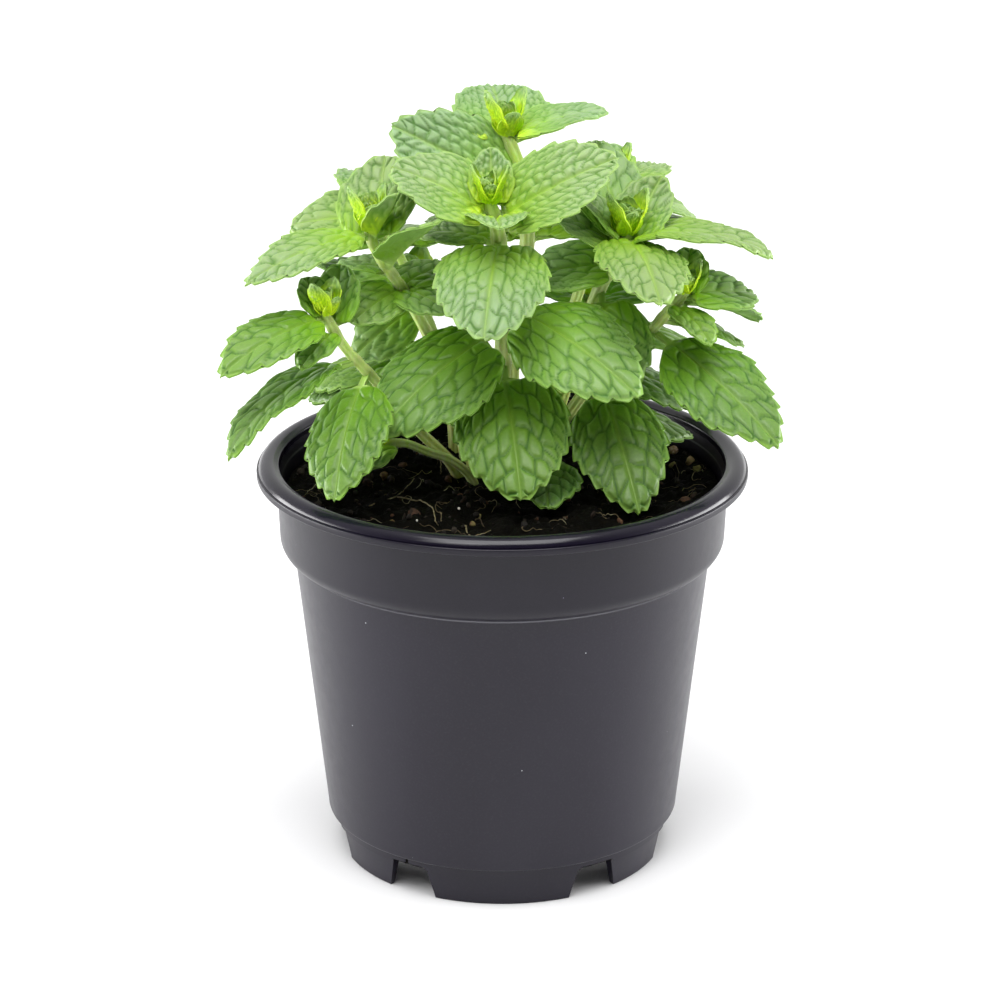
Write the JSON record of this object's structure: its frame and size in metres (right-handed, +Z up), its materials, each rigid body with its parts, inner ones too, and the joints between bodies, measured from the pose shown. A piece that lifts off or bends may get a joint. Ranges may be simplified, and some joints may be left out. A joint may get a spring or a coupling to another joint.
{
  "type": "potted mint plant",
  "caption": "Bushy mint plant with toothed, wrinkled leaves on square stems, growing in soil in a round tapered plastic nursery pot with a rolled rim and a notched foot.",
  "frame": {"origin": "on the ground under the middle of the pot", "axes": "+Z up, the front of the plant towards -Y"},
  "size_m": [0.1316, 0.1203, 0.1884],
  "materials": {
    "pot_plastic": "satin dark grey polypropylene",
    "peat": "moist crumbled peat",
    "leaf": "soft satin green leaf, netted with veins",
    "stem": "pale green stem with fine hairs",
    "root": "pale dry fibre and bark"
  },
  "bodies": {
    "root": {"pot": "pot_plastic", "soil": "peat", "shoot_centre": "leaf", "shoot_back": "leaf", "shoot_left": "leaf", "shoot_low_left": "leaf", "shoot_right": "leaf", "shoot_low_right": "leaf", "shoot_runner": "leaf", "shoot_back_left": "leaf", "shoot_back_right": "leaf", "shoot_rear_left": "leaf", "shoot_rear_right": "leaf"}
  },
  "joints": []
}
